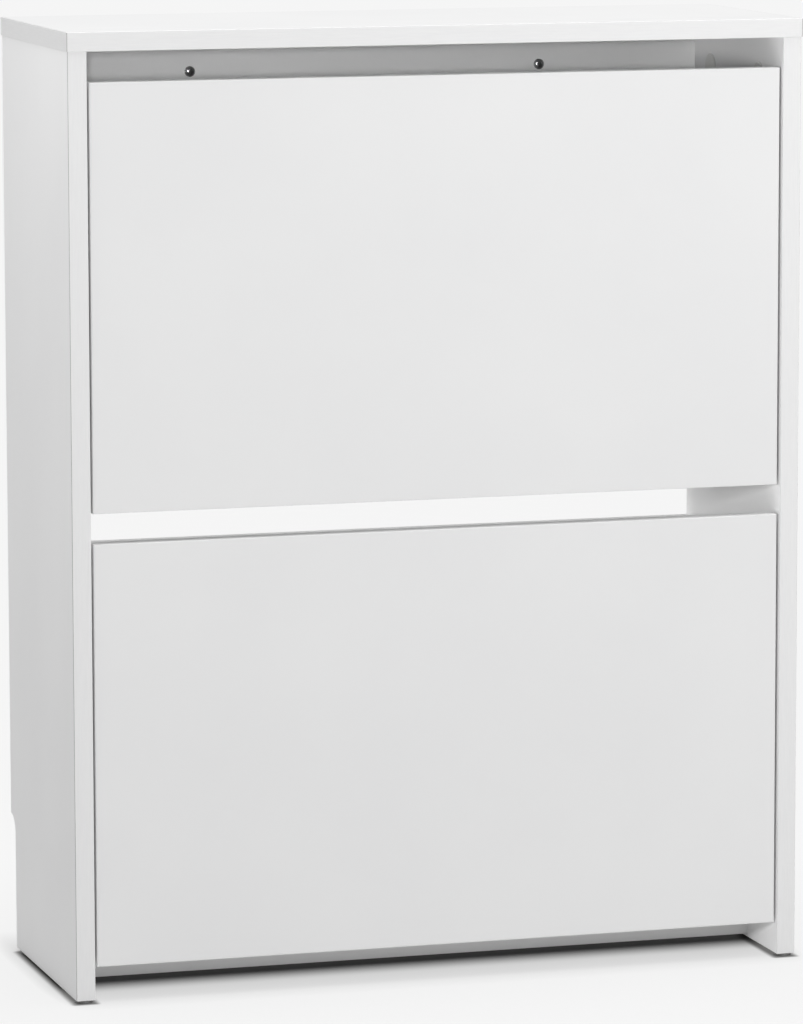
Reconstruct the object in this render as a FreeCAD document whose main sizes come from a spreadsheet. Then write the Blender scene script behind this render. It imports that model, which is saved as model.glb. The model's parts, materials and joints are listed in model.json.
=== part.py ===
import FreeCAD, Part
import os
import Sketcher

# A free-standing shoe cabinet with two tilting flaps, one above the other.
#
# Frame: +Z up, the flaps face -Y, +X is to the right of somebody who faces them.
# The origin is on the floor, under the middle of the top board. Millimetres.
#
# The carcass is two side panels, a top board and three rails. Each flap is a front board
# with two plastic cheeks, which carry a sloping tray floor, a divider and a back board.
# A cheek turns on a steel pin near its lower front corner, and a curved slot in it runs
# round a sleeved stop pin, so the slot's two ends set the closed and the open position.

DIMENSIONS = {
    # Carcass
    "overall_width": 600.0,
    "overall_depth": 225.0,
    "overall_height": 760.0,
    "board": 15.0,
    "overhang": 1.0,
    "edging": 0.8,
    "edge_round": 0.5,
    "upper_rail_height": 85.0,
    "middle_rail_height": 80.0,
    "middle_rail_drop": 30.0,
    "plinth_lift": 5.5,
    "plinth_height": 52.0,
    "plinth_setback": 70.0,
    "notch_depth": 15.5,
    "notch_height": 109.0,
    "notch_round": 15.0,
    # Feet
    "glide_height": 3.0,
    "glide_radius": 7.5,
    "glide_front": 9.0,
    "glide_rear": 195.0,
    "glide_round": 0.8,
    "nail_radius": 1.0,
    "nail_length": 14.0,
    "nail_sink": 1.0,
    # Fixings
    "bore_clearance": 0.05,
    "bore_bottom": 0.5,
    "cam_radius": 7.5,
    "cam_length": 12.3,
    "cam_reach": 34.0,
    "cam_inset": 55.0,
    "cam_passage": 3.8,
    "cam_passage_start": 3.0,
    "bolt_thread_radius": 3.0,
    "bolt_thread_length": 10.0,
    "bolt_shank_radius": 2.5,
    "bolt_head_radius": 3.5,
    "bolt_head_length": 5.0,
    "cap_radius": 11.5,
    "cap_height": 1.4,
    "cap_round": 0.7,
    "dowel_radius": 4.0,
    "dowel_length": 30.0,
    "dowel_in_face": 10.0,
    "dowel_inset": 23.0,
    "rail_cam_drop": 16.0,
    "rail_dowel_drop": 40.0,
    "wall_screw_spacing": 296.0,
    "wall_screw_drop": 31.0,
    "wall_screw_radius": 2.4,
    "wall_head_radius": 3.6,
    "wall_head_height": 2.2,
    "washer_radius": 4.3,
    "washer_height": 1.0,
    # Flaps
    "front_height": 334.0,
    "front_gap": 24.0,
    "front_side_gap": 2.2,
    "front_setback": 2.0,
    "pivot_back": 26.0,
    "pivot_rise": 15.0,
    "opening_angle": 36.0,
    # Pivot and stop hardware
    "pin_radius": 4.0,
    "pin_seat": 9.0,
    "pin_end": 1.0,
    "running_clearance": 0.05,
    "bush_radius": 6.0,
    "bush_flange_radius": 8.5,
    "bush_flange_height": 1.5,
    "bush_boss_radius": 9.5,
    "bush_boss_height": 5.0,
    "bracket_height": 1.8,
    "bracket_front": 7.5,
    "bracket_width": 27.0,
    "bracket_low": 14.0,
    "bracket_length": 76.0,
    "bracket_round": 6.0,
    "bracket_boss_radius": 8.0,
    "bracket_boss_height": 2.7,
    "bracket_screw_back": 11.0,
    "bracket_screw_low": 17.0,
    "bracket_screw_high": 54.0,
    "stop_radius": 36.0,
    "stop_angle": 85.0,
    "stop_pin_radius": 2.5,
    "stop_pin_seat": 10.0,
    "stop_pin_end": 1.5,
    "stop_sleeve_radius": 4.0,
    "moving_gap": 0.3,
    # Cheeks
    "cheek_gap": 5.0,
    "cheek_depth": 9.0,
    "cheek_wall": 3.0,
    "cheek_round": 12.0,
    "cheek_low": 13.0,
    "cheek_toe": 17.0,
    "cheek_heel": 42.0,
    "cheek_heel_rise": 20.0,
    "cheek_back": 146.0,
    "cheek_back_rise": 22.0,
    "cheek_top": 285.0,
    "cheek_top_flat": 20.0,
    "cheek_top_back": 176.0,
    "cheek_top_drop": 252.0,
    "flange_width": 27.0,
    "flange_screw_inset": 18.0,
    "flange_screw_low": 12.0,
    "flange_screw_pitch": 84.0,
    "rib_width": 1.6,
    "rib_height": 6.0,
    "rib_play": 0.1,
    "rib_end_gap": 1.0,
    # Tray boards
    "tray_lean": 8.0,
    "tray_rise": 52.5,
    "tray_board": 3.0,
    "tray_end_gap": 0.5,
    "floor_depth": 141.0,
    "divider_place": 57.0,
    "divider_height": 216.0,
    "back_height": 218.0,
    # Small screws
    "screw_radius": 1.75,
    "screw_length": 13.0,
    "screw_head_radius": 3.6,
    "screw_head_height": 2.2,
    "screw_head_round": 1.0,
    "sink_height": 1.8,
    "recess_width": 0.9,
    "recess_length": 4.0,
    "recess_depth": 1.3,
    # How far a joined piece reaches into its neighbour, and a cut past a face
    "into": 1.0,
}

FLANGE_SCREWS = 4
TOUCHING = 0.01
PARALLEL = 1e-6

# Places worked out from the driving dimensions, as formulas for setExpression.
SIDE_FACE = "(Dims.overall_width / 2 - Dims.overhang - Dims.board)"
SIDE_MIDDLE = "(Dims.overall_width / 2 - Dims.overhang - Dims.board / 2)"
SIDE_WIDTH = f"2 * {SIDE_FACE}"
FRONT_EDGE = "(Dims.overhang - Dims.overall_depth / 2)"
BACK_EDGE = "(Dims.overall_depth / 2)"
TOP_UNDERSIDE = "(Dims.overall_height - Dims.board)"
RAIL_FACE = "(Dims.overall_depth / 2 - Dims.board)"

FRONT_BOTTOM = {
    "upper": f"({TOP_UNDERSIDE} - Dims.front_gap - Dims.front_height)",
    "lower": f"({TOP_UNDERSIDE} - 2 * (Dims.front_gap + Dims.front_height))",
}
FRONT_HALF = f"({SIDE_FACE} - Dims.front_side_gap)"
PIVOT_Y = f"({FRONT_EDGE} + Dims.pivot_back)"
PIVOT_Z = {flap: f"({bottom} + Dims.pivot_rise)" for flap, bottom in FRONT_BOTTOM.items()}
FRONT_BEHIND = "(Dims.pivot_back - Dims.front_setback - Dims.board)"

CHEEK_OUTER = f"({SIDE_FACE} - Dims.cheek_gap)"
CHEEK_INNER = f"({CHEEK_OUTER} - Dims.cheek_wall)"
BRACKET_FACE = f"({SIDE_FACE} - Dims.bracket_height)"

# Rails: the height of the top edge, the height of the board and the place of its front face.
RAILS = {
    "upper_back_rail": (TOP_UNDERSIDE, "Dims.upper_rail_height", RAIL_FACE),
    "middle_back_rail": (
        f"({FRONT_BOTTOM['lower']} + Dims.front_height - Dims.middle_rail_drop)",
        "Dims.middle_rail_height",
        RAIL_FACE,
    ),
    "plinth_rail": (
        "(Dims.plinth_lift + Dims.plinth_height)",
        "Dims.plinth_height",
        f"({FRONT_EDGE} + Dims.plinth_setback)",
    ),
}

# Turns that take the local +Z of a rod or a fastener to a direction of the cabinet.
ALONG = {
    "+x": FreeCAD.Rotation(FreeCAD.Vector(1, 1, 1), 120),
    "+y": FreeCAD.Rotation(FreeCAD.Vector(1, 0, 0), -90),
    "-y": FreeCAD.Rotation(FreeCAD.Vector(1, 0, 0), 90),
    "+z": FreeCAD.Rotation(),
    "-z": FreeCAD.Rotation(FreeCAD.Vector(1, 0, 0), 180),
    "flat +x": FreeCAD.Rotation(FreeCAD.Vector(0, 1, 0), 90),
    "flat -x": FreeCAD.Rotation(FreeCAD.Vector(0, 1, 0), -90),
}
CAM_FACING_INWARDS = FreeCAD.Rotation(
    FreeCAD.Vector(0, 0, 1), FreeCAD.Vector(0, -1, 0), FreeCAD.Vector(1, 0, 0), "ZXY")

doc = FreeCAD.newDocument("ShoeCabinet")
nodes = []
bores = {}


# ---------------------------------------------------------------- document helpers

def make_sheet():
    """Put every driving dimension in the sheet, under its own alias."""
    sheet = doc.addObject("Spreadsheet::Sheet", "Dims")
    for row, (alias, value) in enumerate(DIMENSIONS.items(), 1):
        sheet.set(f"A{row}", alias.replace("_", " "))
        sheet.set(f"B{row}", str(value))
        sheet.setAlias(f"B{row}", alias)
    doc.recompute()
    return sheet


def place(item, spot, turn=None):
    """Turn an object and bind the three coordinates of its origin to formulas."""
    if turn:
        item.Placement = FreeCAD.Placement(FreeCAD.Vector(), turn)
    for letter, formula in zip("xyz", spot):
        item.setExpression(f"Placement.Base.{letter}", str(formula))
    return item


def block(name, size, corner):
    """A box with its three sizes and its lowest corner as formulas."""
    item = doc.addObject("Part::Box", name)
    for side, formula in zip(("Length", "Width", "Height"), size):
        item.setExpression(side, formula)
    return place(item, corner)


def rod(name, radius, length, start, along="+z"):
    """A cylinder that starts at a point and runs along one direction."""
    item = doc.addObject("Part::Cylinder", name)
    item.setExpression("Radius", radius)
    item.setExpression("Height", length)
    return place(item, start, ALONG[along])


def cone(name, start_radius, end_radius, length, start, along="+z"):
    """A cone between two radii that starts at a point and runs along one direction."""
    item = doc.addObject("Part::Cone", name)
    item.setExpression("Radius1", start_radius)
    item.setExpression("Radius2", end_radius)
    item.setExpression("Height", length)
    return place(item, start, ALONG[along])


def fuse(name, pieces):
    """Join pieces that touch into one solid."""
    item = doc.addObject("Part::MultiFuse", name)
    item.Shapes = pieces
    return item


def cut(name, base, tools):
    """Take every tool away from the base."""
    item = doc.addObject("Part::Cut", name)
    item.Base = base
    item.Tool = tools[0] if len(tools) == 1 else fuse(f"{name}_tools", tools)
    return item


def group(name, pieces):
    """Hold separate solids together without joining them."""
    item = doc.addObject("Part::Compound", name)
    item.Links = pieces
    return item


def mirror(name, source):
    """The left-hand copy of a right-hand piece."""
    item = doc.addObject("Part::Mirroring", name)
    item.Source = source
    item.Base = FreeCAD.Vector(0, 0, 0)
    item.Normal = FreeCAD.Vector(1, 0, 0)
    return item


def both_sides(pieces):
    """The right-hand pieces and their left-hand copies."""
    return pieces + [mirror(f"{piece.Name}_left", piece) for piece in pieces]


def copy_at(prototype, name, spot, along):
    """A copy of a fastener, driven from a point along one direction."""
    return place(group(name, [prototype]), spot, ALONG[along])


def soften(name, source, radius, wanted):
    """Round those edges of a source that the test accepts."""
    doc.recompute()
    item = doc.addObject("Part::Fillet", name)
    item.Base = source
    numbered = enumerate(source.Shape.Edges, 1)
    item.Edges = [(number, radius, radius) for number, edge in numbered if wanted(edge)]
    return item


def node(item, label):
    """Name a finished sub-part."""
    item.Label = label
    nodes.append(item)
    return item


def bore(panel, radius, depth, start, along):
    """Note a hole that a panel needs, a little wider than what goes into it."""
    holes = bores.setdefault(panel, [])
    wider = f"{radius} + Dims.bore_clearance"
    holes.append(rod(f"{panel}_bore_{len(holes) + 1}", wider, depth, start, along))


def bored(panel, blank, full_width):
    """Cut a panel's noted holes, on both sides of a board that spans the cabinet."""
    holes = bores[panel]
    return cut(f"{panel}_bored", blank, both_sides(holes) if full_width else holes)


def lies_along(edge, axis):
    """Whether a straight edge is parallel to an axis."""
    start, end = (vertex.Point for vertex in edge.Vertexes)
    along = (end - start).normalize()
    return along.isEqual(axis, PARALLEL) or along.isEqual(-axis, PARALLEL)


# ---------------------------------------------------------------- sketches

def start_body(name, spot=("0", "0", "0")):
    """A PartDesign body with its origin at a point."""
    return place(doc.addObject("PartDesign::Body", name), spot)


def side_sketch(body, name, offset):
    """A sketch parallel to the side panels, at a distance from the middle of the body."""
    sketch = body.newObject("Sketcher::SketchObject", name)
    planes = [item for item in body.Origin.OriginFeatures if item.Role == "YZ_Plane"]
    sketch.AttachmentSupport = [(planes[0], "")]
    sketch.MapMode = "FlatFace"
    sketch.setExpression("AttachmentOffset.Base.z", offset)
    return sketch


def outline(sketch, corners):
    """A closed loop of lines, with both coordinates of every corner bound to a formula."""
    points = [[float(sketch.evalExpression(formula)) for formula in corner] for corner in corners]
    vectors = [FreeCAD.Vector(across, up, 0) for across, up in points]
    for number, start in enumerate(vectors):
        end = vectors[(number + 1) % len(vectors)]
        sketch.addGeometry(Part.LineSegment(start, end))
    for number in range(len(vectors)):
        following = (number + 1) % len(vectors)
        sketch.addConstraint(Sketcher.Constraint("Coincident", number, 2, following, 1))
    for number, corner in enumerate(corners):
        for kind, formula, value in zip(("DistanceX", "DistanceY"), corner, points[number]):
            driven = sketch.addConstraint(Sketcher.Constraint(kind, -1, 1, number, 1, value))
            sketch.setExpression(f"Constraints[{driven}]", formula)


def pad(body, name, sketch, length):
    """A prism on a sketch, towards +X."""
    item = body.newObject("PartDesign::Pad", name)
    item.Profile = sketch
    item.setExpression("Length", length)
    doc.recompute()
    return item


def round_corners(body, name, base, radius, corners):
    """Round the edges along X that pass through the given corners of the outline."""
    places = [[float(base.evalExpression(formula)) for formula in corner] for corner in corners]
    wanted = []
    for number, edge in enumerate(base.Shape.Edges, 1):
        middle = edge.CenterOfMass
        if lies_along(edge, FreeCAD.Vector(1, 0, 0)):
            if any(abs(middle.y - y) + abs(middle.z - z) < TOUCHING for y, z in places):
                wanted.append(f"Edge{number}")
    item = body.newObject("PartDesign::Fillet", name)
    item.Base = (base, wanted)
    item.setExpression("Radius", radius)
    doc.recompute()
    return item


# ---------------------------------------------------------------- fasteners

def cross_recess(name, top, long_side):
    """The two blades of a screwdriver, down from the top of a head."""
    wide = "Dims.recess_width"
    blades = [
        block(f"{name}_blade_x", (long_side, wide, "Dims.recess_depth"),
              (f"-{long_side} / 2", f"-{wide} / 2", top)),
        block(f"{name}_blade_y", (wide, long_side, "Dims.recess_depth"),
              (f"-{wide} / 2", f"-{long_side} / 2", top)),
    ]
    return fuse(f"{name}_recess", blades)


def pan_screw(name, head_radius, head_height, shank_radius, length):
    """A pan head below z = 0 and a shank above it, with a cross recess in the head."""
    head_top = f"-{head_height}"
    head = rod(f"{name}_head", head_radius, head_height, ("0", "0", head_top))
    rounded = soften(f"{name}_head_rounded", head, sheet.screw_head_round,
                     lambda edge: edge.BoundBox.ZMax < -TOUCHING)
    shank = rod(f"{name}_shank", shank_radius, length, ("0", "0", "0"))
    body = fuse(f"{name}_body", [rounded, shank])
    return cut(name, body, [cross_recess(name, head_top, "Dims.recess_length")])


def sunk_screw(name):
    """A countersunk screw with its flat head at z = 0 and its shank above."""
    head = cone(f"{name}_head", "Dims.screw_head_radius", "Dims.screw_radius",
                "Dims.sink_height", ("0", "0", "0"))
    shank = rod(f"{name}_shank", "Dims.screw_radius", "Dims.screw_length - Dims.sink_height",
                ("0", "0", "Dims.sink_height"))
    body = fuse(f"{name}_body", [head, shank])
    return cut(name, body, [cross_recess(name, "0", "Dims.recess_length")])


def cam_prototype():
    """A cam with its face at z = 0, its passage for the bolt towards +X."""
    barrel = rod("cam_barrel", "Dims.cam_radius", "Dims.cam_length", ("0", "0", "0"))
    passage = doc.addObject("Part::Cylinder", "cam_passage")
    passage.setExpression("Radius", "Dims.cam_passage")
    passage.setExpression("Height", "Dims.cam_radius + Dims.bolt_head_length")
    place(passage, ("-Dims.cam_passage_start", "0", "Dims.board / 2"), ALONG["flat +x"])
    return cut("cam_prototype", barrel, [passage, cross_recess("cam", "0", "2 * Dims.recess_length")])


def bolt_prototype():
    """A cam bolt: its thread below z = 0 and its shank and head above."""
    head_start = "(Dims.cam_reach - Dims.bolt_head_length / 2)"
    thread = rod("bolt_thread", "Dims.bolt_thread_radius", "Dims.bolt_thread_length",
                 ("0", "0", "-Dims.bolt_thread_length"))
    shank = rod("bolt_shank", "Dims.bolt_shank_radius", head_start, ("0", "0", "0"))
    head = rod("bolt_head", "Dims.bolt_head_radius", "Dims.bolt_head_length",
               ("0", "0", head_start))
    return fuse("bolt_prototype", [thread, shank, head])


# ---------------------------------------------------------------- carcass fixings

def top_fixings():
    """Cams, bolts, cover caps and dowels that hold the top board down on the side panels."""
    cams, bolts, caps, dowels = [], [], [], []
    cam_height = f"({TOP_UNDERSIDE} - Dims.cam_reach)"
    insets = {
        "front": f"{FRONT_EDGE} + Dims.cam_inset",
        "rear": f"{BACK_EDGE} - Dims.cam_inset",
    }
    for end, depth in insets.items():
        cams.append(place(group(f"top_cam_{end}", [cam_shape]), (SIDE_FACE, depth, cam_height),
                          CAM_FACING_INWARDS))
        bore("side_panel", "Dims.cam_radius", "Dims.cam_length + Dims.bore_bottom",
             (SIDE_FACE, depth, cam_height), "+x")
        joint = (SIDE_MIDDLE, depth, TOP_UNDERSIDE)
        bolts.append(copy_at(bolt_shape, f"top_bolt_{end}", joint, "-z"))
        bore("side_panel", "Dims.cam_passage", "Dims.cam_reach", joint, "-z")
        bore("top_board", "Dims.bolt_thread_radius", "Dims.bolt_thread_length + Dims.bore_bottom",
             joint, "+z")
        cap = rod(f"cap_stock_{end}", "Dims.cap_radius", "Dims.cap_height",
                  (f"{SIDE_FACE} - Dims.cap_height", depth, cam_height), "+x")
        inner = float(sheet.evalExpression(f"{SIDE_FACE} - Dims.cap_height"))
        caps.append(soften(f"cap_{end}", cap, sheet.cap_round,
                           lambda edge: abs(edge.BoundBox.XMax - inner) < TOUCHING))
    for end, depth in (("front", f"{FRONT_EDGE} + Dims.dowel_inset"),
                       ("rear", f"{BACK_EDGE} - Dims.dowel_inset")):
        start = (SIDE_MIDDLE, depth, f"{TOP_UNDERSIDE} + Dims.dowel_in_face")
        dowels.append(rod(f"top_dowel_{end}", "Dims.dowel_radius", "Dims.dowel_length",
                          start, "-z"))
        joint = (SIDE_MIDDLE, depth, TOP_UNDERSIDE)
        bore("side_panel", "Dims.dowel_radius",
             "Dims.dowel_length - Dims.dowel_in_face + Dims.bore_bottom", joint, "-z")
        bore("top_board", "Dims.dowel_radius", "Dims.dowel_in_face + Dims.bore_bottom", joint, "+z")
    node(group("top_cams", both_sides(cams)), "top_cam_locks")
    node(group("top_bolts", both_sides(bolts)), "top_cam_bolts")
    node(group("top_caps", both_sides(caps)), "top_cam_covers")
    node(group("top_pegs", both_sides(dowels)), "top_dowels")


def rail_fixings():
    """A cam, a bolt and a dowel at each end of each rail, with the cams in the rear faces."""
    cams, bolts, dowels = [], [], []
    for rail, (top, _, face) in RAILS.items():
        middle = f"({face} + Dims.board / 2)"
        cam_height = f"({top} - Dims.rail_cam_drop)"
        peg_height = f"({top} - Dims.rail_dowel_drop)"
        cam_spot = (f"{SIDE_FACE} - Dims.cam_reach", f"({face} + Dims.board)", cam_height)
        cams.append(copy_at(cam_shape, f"{rail}_cam", cam_spot, "-y"))
        bore(rail, "Dims.cam_radius", "Dims.cam_length + Dims.bore_bottom", cam_spot, "-y")
        joint = (SIDE_FACE, middle, cam_height)
        bolts.append(copy_at(bolt_shape, f"{rail}_bolt", joint, "flat -x"))
        bore("side_panel", "Dims.bolt_thread_radius", "Dims.bolt_thread_length + Dims.bore_bottom",
             joint, "+x")
        bore(rail, "Dims.cam_passage", "Dims.cam_reach",
             (f"{SIDE_FACE} - Dims.cam_reach", middle, cam_height), "+x")
        peg_length = "(Dims.dowel_length - Dims.dowel_in_face)"
        start = (f"{SIDE_FACE} - {peg_length}", middle, peg_height)
        dowels.append(rod(f"{rail}_dowel", "Dims.dowel_radius", "Dims.dowel_length", start, "+x"))
        bore("side_panel", "Dims.dowel_radius", "Dims.dowel_in_face + Dims.bore_bottom",
             (SIDE_FACE, middle, peg_height), "+x")
        bore(rail, "Dims.dowel_radius", f"{peg_length} + Dims.bore_bottom",
             (f"{SIDE_FACE} - {peg_length} - Dims.bore_bottom", middle, peg_height), "+x")
    node(group("rail_cams", both_sides(cams)), "rail_cam_locks")
    node(group("rail_bolts", both_sides(bolts)), "rail_cam_bolts")
    node(group("rail_pegs", both_sides(dowels)), "rail_dowels")


def wall_fixings():
    """Two washered screws through the upper back rail, as long as the rail is thick."""
    head_height = f"({TOP_UNDERSIDE} - Dims.wall_screw_drop)"
    spot = ("Dims.wall_screw_spacing / 2", RAIL_FACE, head_height)
    on_washer = (spot[0], f"{RAIL_FACE} - Dims.washer_height", head_height)
    shape = pan_screw("wall_screw_prototype", "Dims.wall_head_radius", "Dims.wall_head_height",
                      "Dims.wall_screw_radius", "Dims.board + Dims.washer_height")
    node(group("wall_screw_pair", both_sides([copy_at(shape, "wall_screw", on_washer, "+y")])),
         "wall_screws")
    disc = rod("washer_disc", "Dims.washer_radius", "Dims.washer_height", on_washer, "+y")
    eye = rod("washer_eye", "Dims.wall_screw_radius + Dims.bore_clearance",
              "Dims.washer_height", on_washer, "+y")
    node(group("washer_pair", both_sides([cut("washer", disc, [eye])])), "wall_screw_washers")
    bore("upper_back_rail", "Dims.wall_screw_radius", "Dims.board", spot, "+y")


def feet():
    """Four plastic glides, each held by a nail in the bottom edge of a side panel."""
    glides, nails = [], []
    for end in ("front", "rear"):
        depth = f"{FRONT_EDGE} + Dims.glide_{end}"
        disc = rod(f"glide_disc_{end}", "Dims.glide_radius", "Dims.glide_height",
                   (SIDE_MIDDLE, depth, "0"))
        rounded = soften(f"glide_rounded_{end}", disc, sheet.glide_round,
                         lambda edge: edge.BoundBox.ZMax < TOUCHING)
        seat = (SIDE_MIDDLE, depth, "Dims.nail_sink")
        nails.append(rod(f"nail_{end}", "Dims.nail_radius", "Dims.nail_length", seat))
        eye = rod(f"glide_eye_{end}", "Dims.nail_radius + Dims.bore_clearance",
                  "Dims.glide_height", seat)
        glides.append(cut(f"glide_{end}", rounded, [eye]))
        bore("side_panel", "Dims.nail_radius",
             "Dims.nail_sink + Dims.nail_length - Dims.glide_height + Dims.bore_bottom",
             (SIDE_MIDDLE, depth, "Dims.glide_height"), "+z")
    node(group("glides", both_sides(glides)), "foot_glides")
    node(group("nails", both_sides(nails)), "foot_glide_nails")


# ---------------------------------------------------------------- carcass boards

def strip(name, size, corner, outward):
    """A strip of edging with the two long edges of its outer face rounded."""
    stock = block(f"{name}_stock", size, corner)
    doc.recompute()
    faces = [face for face in stock.Shape.Faces if face.normalAt(0, 0).isEqual(outward, PARALLEL)]
    long_edges = [edge for edge in faces[0].Edges if edge.Length > 2 * sheet.board]
    return soften(name, stock, sheet.edge_round,
                  lambda edge: any(edge.isSame(other) for other in long_edges))


def side_panels():
    """The right side panel, notched for a skirting board, its edging, and their left copies."""
    body = start_body("side_blank")
    front = f"{FRONT_EDGE} + Dims.edging"
    bottom = "Dims.glide_height"
    notch_front = f"{BACK_EDGE} - Dims.notch_depth"
    notch_top = "Dims.glide_height + Dims.notch_height"
    profile = side_sketch(body, "side_profile", SIDE_FACE)
    outline(profile, [(front, bottom), (notch_front, bottom), (notch_front, notch_top),
                      (BACK_EDGE, notch_top), (BACK_EDGE, TOP_UNDERSIDE), (front, TOP_UNDERSIDE)])
    slab = pad(body, "side_slab", profile, "Dims.board")
    round_corners(body, "side_notch_round", slab, "Dims.notch_round", [(notch_front, notch_top)])
    right = node(bored("side_panel", body, False), "right_side_panel")
    node(mirror("left_side_bored", right), "left_side_panel")
    band = strip("right_side_band", ("Dims.board", "Dims.edging", f"{TOP_UNDERSIDE} - {bottom}"),
                 (SIDE_FACE, FRONT_EDGE, bottom), FreeCAD.Vector(0, -1, 0))
    node(band, "right_side_edging")
    node(mirror("left_side_band", band), "left_side_edging")


def top_board():
    """The top board with edging on its front and on both ends."""
    half = "Dims.overall_width / 2"
    front = "-Dims.overall_depth / 2"
    blank = block("top_blank",
                  ("Dims.overall_width - 2 * Dims.edging", "Dims.overall_depth - Dims.edging",
                   "Dims.board"),
                  (f"Dims.edging - {half}", f"{front} + Dims.edging", TOP_UNDERSIDE))
    node(bored("top_board", blank, True), "top_board")
    front_band = strip("top_front_band", ("Dims.overall_width", "Dims.edging", "Dims.board"),
                       (f"-{half}", front, TOP_UNDERSIDE), FreeCAD.Vector(0, -1, 0))
    end_band = strip("top_end_band",
                     ("Dims.edging", "Dims.overall_depth - Dims.edging", "Dims.board"),
                     (f"{half} - Dims.edging", f"{front} + Dims.edging", TOP_UNDERSIDE),
                     FreeCAD.Vector(1, 0, 0))
    node(group("top_bands", [front_band] + both_sides([end_band])), "top_board_edging")


def rails():
    """The three boards that tie the side panels together."""
    for rail, (top, tall, face) in RAILS.items():
        blank = block(f"{rail}_blank", (SIDE_WIDTH, "Dims.board", tall),
                      (f"-{SIDE_FACE}", face, f"{top} - {tall}"))
        node(bored(rail, blank, True), rail)


# ---------------------------------------------------------------- flaps

def from_pivot(flap, across, back, up):
    """A point given by its distance behind and above the flap's pivot."""
    return (across, f"{PIVOT_Y} + {back}", f"{PIVOT_Z[flap]} + {up}")


def stop_offsets():
    """How far the stop pin stands behind and above the pivot."""
    angle = "Dims.stop_angle * 1 deg"
    return (f"Dims.stop_radius * cos({angle})", f"Dims.stop_radius * sin({angle})")


def pivot_hardware(flap):
    """The right-hand bracket with its screws, its pivot pin and its sleeved stop pin."""
    stop_back, stop_up = stop_offsets()
    plate = block(f"{flap}_bracket_plate",
                  ("Dims.bracket_height", "Dims.bracket_width", "Dims.bracket_length"),
                  from_pivot(flap, BRACKET_FACE, "-Dims.bracket_front", "-Dims.bracket_low"))
    rounded = soften(f"{flap}_bracket_rounded", plate, sheet.bracket_round,
                     lambda edge: lies_along(edge, FreeCAD.Vector(1, 0, 0)))
    boss_start = f"({BRACKET_FACE} - Dims.bracket_boss_height)"
    boss = rod(f"{flap}_bracket_boss", "Dims.bracket_boss_radius", "Dims.bracket_boss_height",
               from_pivot(flap, boss_start, "0", "0"), "+x")
    holes = [
        rod(f"{flap}_pin_eye", "Dims.pin_radius + Dims.bore_clearance", "Dims.board",
            from_pivot(flap, boss_start, "0", "0"), "+x"),
        rod(f"{flap}_stop_eye", "Dims.stop_pin_radius + Dims.bore_clearance", "Dims.board",
            from_pivot(flap, boss_start, stop_back, stop_up), "+x"),
    ]
    screws = []
    for end in ("low", "high"):
        spot = from_pivot(flap, BRACKET_FACE, "Dims.bracket_screw_back", f"Dims.bracket_screw_{end}")
        screws.append(copy_at(sunk_shape, f"{flap}_bracket_screw_{end}", spot, "+x"))
        holes.append(cone(f"{flap}_sink_{end}", "Dims.screw_head_radius + Dims.bore_clearance",
                          "Dims.screw_radius + Dims.bore_clearance", "Dims.sink_height", spot, "+x"))
        bore("side_panel", "Dims.screw_radius", "Dims.screw_length",
             (SIDE_FACE, spot[1], spot[2]), "+x")
    bracket = cut(f"{flap}_bracket", fuse(f"{flap}_bracket_blank", [rounded, boss]), holes)
    node(bracket, f"{flap}_right_bracket")
    node(mirror(f"{flap}_bracket_left", bracket), f"{flap}_left_bracket")

    pin_start = f"({CHEEK_INNER} - Dims.bush_boss_height - Dims.bush_flange_height - Dims.pin_end)"
    pin = rod(f"{flap}_pin", "Dims.pin_radius", f"{SIDE_FACE} + Dims.pin_seat - {pin_start}",
              from_pivot(flap, pin_start, "0", "0"), "+x")
    bore("side_panel", "Dims.pin_radius", "Dims.pin_seat + Dims.bore_bottom",
         from_pivot(flap, SIDE_FACE, "0", "0"), "+x")

    sleeve_start = f"({CHEEK_INNER} - Dims.stop_pin_end)"
    stop_pin = rod(f"{flap}_stop_pin", "Dims.stop_pin_radius",
                   f"{SIDE_FACE} + Dims.stop_pin_seat - {sleeve_start}",
                   from_pivot(flap, sleeve_start, stop_back, stop_up), "+x")
    bore("side_panel", "Dims.stop_pin_radius", "Dims.stop_pin_seat + Dims.bore_bottom",
         from_pivot(flap, SIDE_FACE, stop_back, stop_up), "+x")
    sleeve_spot = from_pivot(flap, sleeve_start, stop_back, stop_up)
    sleeve_length = f"{BRACKET_FACE} - {sleeve_start}"
    sleeve_stock = rod(f"{flap}_sleeve_stock", "Dims.stop_sleeve_radius", sleeve_length,
                       sleeve_spot, "+x")
    sleeve_eye = rod(f"{flap}_sleeve_eye", "Dims.stop_pin_radius + Dims.bore_clearance",
                     sleeve_length, sleeve_spot, "+x")
    sleeve = cut(f"{flap}_sleeve", sleeve_stock, [sleeve_eye])
    return {"screws": screws, "pins": [pin], "stops": [stop_pin], "sleeves": [sleeve]}


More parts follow.
